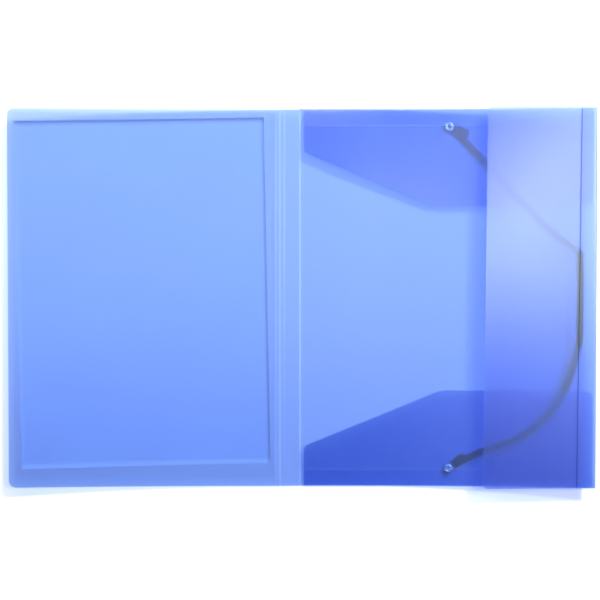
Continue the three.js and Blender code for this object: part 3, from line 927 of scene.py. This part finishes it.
def elasticMaterial():
    # ribs run along the band, and fine cross threads and fuzz break them up
    mat, n, links = newMaterial("wovenElastic")
    link = links.new
    out = n.new("ShaderNodeOutputMaterial")
    surface = n.new("ShaderNodeBsdfPrincipled")
    along, across = n.new("ShaderNodeAttribute"), n.new("ShaderNodeAttribute")
    along.attribute_name, across.attribute_name = "along", "across"
    place = n.new("ShaderNodeCombineXYZ")
    weave = n.new("ShaderNodeTexWave")
    weave.inputs["Scale"].default_value = elasticLook["weaveScale"]
    weave.inputs["Distortion"].default_value = elasticLook["weaveDistortion"]
    weave.inputs["Detail"].default_value = elasticLook["weaveDetail"]
    fuzz = n.new("ShaderNodeTexNoise")
    fuzz.inputs["Scale"].default_value = elasticLook["fuzzScale"]
    fuzz.inputs["Detail"].default_value = elasticLook["fuzzDetail"]
    height = mathNode(n, "MULTIPLY_ADD", None, elasticLook["fuzzShare"])
    bump = bumpNode(n, *elasticLook["bump"])
    tone = colorMix(n, elasticLook["dark"], elasticLook["light"])
    surface.inputs["Roughness"].default_value = elasticLook["roughness"]
    surface.inputs["Specular IOR Level"].default_value = elasticLook["specular"]
    link(along.outputs["Fac"], place.inputs["X"])
    link(across.outputs["Fac"], place.inputs["Y"])
    link(place.outputs["Vector"], weave.inputs["Vector"])
    link(place.outputs["Vector"], fuzz.inputs["Vector"])
    link(fuzz.outputs["Fac"], height.inputs[0])
    link(weave.outputs["Fac"], height.inputs[2])
    link(height.outputs[0], bump.inputs["Height"])
    link(weave.outputs["Fac"], tone.inputs["Factor"])
    link(tone.outputs["Result"], surface.inputs["Base Color"])
    link(bump.outputs["Normal"], surface.inputs["Normal"])
    link(surface.outputs["BSDF"], out.inputs["Surface"])
    return mat


def makeBand():
    dense = curveThrough(bandStops(), band["spanSteps"])
    steps = np.concatenate([[0], np.cumsum(np.linalg.norm(np.diff(dense, axis=0), axis=1))])
    length = steps[-1]
    s = joined(np.arange(0, length, band["step"]), length)
    points = np.stack([np.interp(s, steps, dense[:, k]) for k in range(3)], axis=1)
    forward = np.gradient(points, s, axis=0)
    forward /= np.linalg.norm(forward, axis=1, keepdims=True)
    flat = np.column_stack([-forward[:, 1], forward[:, 0]])
    flat /= np.maximum(np.linalg.norm(flat, axis=1, keepdims=True), 1e-9)
    # the band lies on the panel, so it tilts with the panel's slope
    slope = panelSlope(points[:, 0])
    across = np.column_stack([flat, flat[:, 0] * slope])
    across /= np.linalg.norm(across, axis=1, keepdims=True)
    up = np.cross(across, forward)
    up *= np.where(up[:, 2:] < 0, -1, 1)
    ribbon("elasticSkin", points, across, up, s, band["width"], elastic)


def ribbon(name, points, across, up, s, width, material):
    # a ribbed section carried along a line of points, with the directions across and up at each
    section = ribbonSection(width)
    grid = points[:, None] + section[None, :, :1] * across[:, None] + section[None, :, 1:] * up[:, None]
    rows, cols = grid.shape[:2]
    index = np.arange(rows * cols).reshape(rows, cols)
    turned = np.roll(index, -1, axis=1)
    sides = np.stack([a.ravel() for a in (index[:-1], turned[:-1], turned[1:], index[1:])], axis=1)
    # each end is closed by strips between the two faces
    pair = np.arange(cols // 2 - 1)
    strips = np.stack([pair, pair + 1, cols - 2 - pair, cols - 1 - pair], axis=1)
    faces = np.concatenate([sides, index[0][strips], index[-1][strips][:, ::-1]])
    values = {"along": np.repeat(s, cols), "across": np.tile(section[:, 0], rows)}
    piece = addMesh(name, grid.reshape(-1, 3), faces, values)
    holeX, holeY = folder["eyelet"]
    low, high = lift(holeX) + np.array(band["cutRange"])
    for side in (1, -1):
        away = np.hypot(points[:, 0] - holeX, points[:, 1] - side * holeY)
        if np.min(away) < band["hole"]:
            cut(piece, roundOutline(band["hole"]) + (holeX, side * holeY), low, high)
    finishPiece(piece, material, "back", "elastic_band")


def makeTab(name, side):
    # the cut end: a short straight ribbon between the panel and the band, turned about the eyelet
    turn = band["tabTurn"][side]
    s = table([(-band["overhang"], band["tabReach"], band["tabSteps"])])
    direction = np.array([math.cos(turn), math.sin(turn)])
    flat = np.array(folder["eyelet"]) * (1, side) + s[:, None] * direction
    points = np.column_stack([flat, lift(flat[:, 0]) + band["under"]])
    forward = np.gradient(points, s, axis=0)
    across = np.broadcast_to((-direction[1], direction[0], 0.0), points.shape)
    up = np.cross(forward, across)
    up /= np.linalg.norm(up, axis=1, keepdims=True)
    ribbon(name, points, across, up, s, band["tabWidth"], elastic)


elastic = elasticMaterial()
makeBand()
makeTab("topTabSkin", 1)
makeTab("bottomTabSkin", -1)

# Eyelets: a rolled rim on the inside, a barrel, and a clinch behind
eyelet = {
    "bore": 1.45,
    "barrel": 1.75,
    "rim": 3.75,
    "rimHeight": 0.55,
    "rimFoot": 0.16,
    "rimUnder": 0.3,
    "roll": (-0.35 * math.pi, 0.92 * math.pi, 18),
    "rollLeast": -0.3,
    "seat": 0.65,
    "back": -1.65,
    "clinch": 2.5,
    "clinchRound": 0.1,
    "clinchHeight": 0.22,
    "around": 64,
    "look": {
        "color": (0.46, 0.50, 0.60),
        "darker": 0.9,
        "roughness": 0.42,
        "metallic": 1.0,
        "grainScale": 700.0,
        "grainDepth": 0.02,
        "grainHeight": 0.0003,
    },
}


def eyeletSection():
    # radii and heights once round the wall: under the rim, over it, down the bore and out to the clinch
    bore, clinch, seat, back = eyelet["bore"], eyelet["clinch"], eyelet["seat"], eyelet["back"]
    roll = line(*eyelet["roll"])
    # the rolled rim is an ellipse that runs from its outer foot over the top and down into the bore
    rimRadius = (eyelet["rim"] + bore) / 2 + (eyelet["rim"] - bore) / 2 * np.cos(roll)
    rimRise = (eyelet["rimHeight"] - eyelet["rimFoot"]) * np.maximum(np.sin(roll), eyelet["rollLeast"])
    nearly, top = clinch - eyelet["clinchRound"], back + eyelet["clinchHeight"]
    radii = [[eyelet["barrel"], eyelet["rim"] - eyelet["rimUnder"]], rimRadius]
    radii.append([bore, bore, nearly, clinch, nearly, eyelet["barrel"]])
    heights = [[seat, seat], seat + eyelet["rimFoot"] + rimRise]
    heights.append([seat, back, back, back + eyelet["clinchRound"], top, top])
    return np.concatenate(radii), np.concatenate(heights)


def makeEyelets():
    material = plainMaterial("platedEyelet", eyelet["look"])
    centreX, centreY = folder["eyelet"]
    r, z = eyeletSection()
    angle = line(0, 2 * math.pi, eyelet["around"] + 1)[:-1]
    # the section goes round its axis, which leans with the panel
    tilt = math.atan(panelSlope(centreX))
    px = r[None, :] * np.cos(angle)[:, None]
    py = r[None, :] * np.sin(angle)[:, None]
    pz = np.broadcast_to(z, px.shape)
    x = px * math.cos(tilt) - pz * math.sin(tilt) + centreX
    high = px * math.sin(tilt) + pz * math.cos(tilt) + lift(centreX)
    rows, cols = px.shape
    # the grid closes on itself both ways
    index = np.arange(rows * cols).reshape(rows, cols)
    over, inward = np.roll(index, -1, axis=0), np.roll(index, -1, axis=1)
    both = np.roll(over, -1, axis=1)
    faces = np.stack([a.ravel() for a in (index, over, both, inward)], axis=1)
    for end, side in (("top", 1), ("bottom", -1)):
        points = np.stack([x, py + side * centreY, high], axis=2).reshape(-1, 3)
        piece = addMesh(end + "EyeletSkin", points, faces)
        finishPiece(piece, material, "back", end + "_eyelet")


makeEyelets()

# Thin webs that carry the sheet across the three creases, each centred on its crease
webs = {"thickness": 0.3, "overlap": 0.04, "inset": 0.05, "bevel": 0.02, "rows": 40, "columns": 7}


def makeWeb(name, centreX, rise):
    reach = folder["creaseGap"] + webs["overlap"]
    z = folder["thickness"] / 2 + rise
    start, end = centreX - reach, centreX + reach
    high = folder["halfHeight"] - webs["inset"]
    x, y = np.meshgrid(line(start, end, webs["columns"]), line(-high, high, webs["rows"]))
    middle = np.stack([x, y, np.full(x.shape, z)], axis=2)
    # painted highlight: the webs take the full lighter tint, so the creases show as bright lines, partly for
    # the thinner web
    piece = shell(name, middle, webs["thickness"], np.ones(x.shape), bevel=webs["bevel"])
    piece.data.materials.append(sheet)
    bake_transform(piece)


makeWeb("spineCreaseWeb", 0, 0)
makeWeb("coverCreaseWeb", -folder["spineWidth"], folder["coverRise"])
makeWeb("foreCreaseWeb", folder["panelEnd"] + folder["creaseGap"], folder["foreLift"])
print("elastic, eyelets and crease webs built")

# Stage, lights and camera
stage = {
    "floorTone": 0.82,
    "floorGlow": 0.10,
    "world": 0.03,
    "lamps": {
        "key": {"place": (1.85, 2.3, 2.65), "size": (0.4, 0.4), "power": 160.0},
        "overhead": {
            "place": (0.0, 0.165, 1.6),
            "aim": (0.0, 0.165, 0),
            "size": (1.7, 0.57),
            "power": 7.6,
            "color": (0.92, 1.0, 1.05),
        },
        "head": {"place": (0.0, 0.62, 0.45), "aim": (0.0, 0.1, 0), "size": (1.3, 0.2), "power": 6.2},
        "side": {
            "place": (0.715, 0.17, 1.5),
            "size": (0.35, 0.16),
            "power": 9.6,
            "color": (0.95, 1.05, 1.02),
        },
    },
    "floorHalf": 3.0,
    "floorDrop": 0.0003,
    "height": 1.09,
    "aim": (-0.0016, -0.0016),
    "pitch": 0.0244,
    "lens": 76.95,
    "sensor": 36.0,
}


def makeFloor():
    half = stage["floorHalf"]
    mesh = bpy.data.meshes.new("floor")
    corners = [(-half, -half, 0), (half, -half, 0), (half, half, 0), (-half, half, 0)]
    mesh.from_pydata(corners, [], [(0, 1, 2, 3)])
    floor = bpy.data.objects.new("floor", mesh)
    bpy.context.collection.objects.link(floor)
    floor.location.z = -stage["floorDrop"]
    mat, n, links = newMaterial("floorWhite")
    link = links.new
    out = n.new("ShaderNodeOutputMaterial")
    add = n.new("ShaderNodeAddShader")
    base = n.new("ShaderNodeBsdfDiffuse")
    base.inputs["Color"].default_value = (*[stage["floorTone"]] * 3, 1)
    # a faint glow that the camera, glossy and transmission rays see, and that lights nothing
    glow = n.new("ShaderNodeEmission")
    path = n.new("ShaderNodeLightPath")
    seen = path.outputs["Is Camera Ray"]
    for ray in ("Is Glossy Ray", "Is Transmission Ray"):
        either = mathNode(n, "MAXIMUM")
        link(seen, either.inputs[0])
        link(path.outputs[ray], either.inputs[1])
        seen = either.outputs[0]
    level = mathNode(n, "MULTIPLY", None, stage["floorGlow"])
    link(seen, level.inputs[0])
    link(level.outputs[0], glow.inputs["Strength"])
    link(base.outputs["BSDF"], add.inputs[0])
    link(glow.outputs["Emission"], add.inputs[1])
    link(add.outputs["Shader"], out.inputs["Surface"])
    mesh.materials.append(mat)


def makeWorld():
    world = bpy.data.worlds.new("studio")
    bpy.context.scene.world = world
    world.use_nodes = True
    # white where the camera looks past the floor, and dim for everything else
    n, link = world.node_tree.nodes, world.node_tree.links.new
    background = n["Background"]
    background.inputs["Color"].default_value = (1.0, 1.0, 1.0, 1)
    path = n.new("ShaderNodeLightPath")
    level = mathNode(n, "MULTIPLY_ADD", None, 1 - stage["world"], stage["world"])
    link(path.outputs["Is Camera Ray"], level.inputs[0])
    link(level.outputs[0], background.inputs["Strength"])


def makeLamp(name, place, size, power, aim=(0, 0, 0), color=(1, 1, 1)):
    data = bpy.data.lights.new(name, "AREA")
    data.shape = "RECTANGLE"
    data.size, data.size_y = size
    data.energy = power
    data.color = color
    lamp = bpy.data.objects.new(name, data)
    lamp.location = place
    lamp.rotation_euler = (Vector(aim) - Vector(place)).to_track_quat("-Z", "Y").to_euler()
    bpy.context.collection.objects.link(lamp)


def makeCamera():
    data = bpy.data.cameras.new("camera")
    data.lens = stage["lens"]
    data.sensor_width = stage["sensor"]
    data.sensor_fit = "HORIZONTAL"
    camera = bpy.data.objects.new("camera", data)
    x, y = stage["aim"]
    away, pitch = stage["height"], stage["pitch"]
    camera.location = (x, y + away * math.sin(pitch), away * math.cos(pitch))
    camera.rotation_euler = (-pitch, 0, 0)
    bpy.context.collection.objects.link(camera)
    bpy.context.scene.camera = camera


makeFloor()
makeWorld()
for lampName, lamp in stage["lamps"].items():
    makeLamp(lampName, **lamp)
makeCamera()
scene = bpy.context.scene
scene.view_settings.view_transform = "Standard"
scene.cycles.diffuse_bounces = 2
scene.cycles.glossy_bounces = 4
scene.cycles.transmission_bounces = 12
scene.cycles.transparent_max_bounces = 24
print("stage, lights and camera placed")
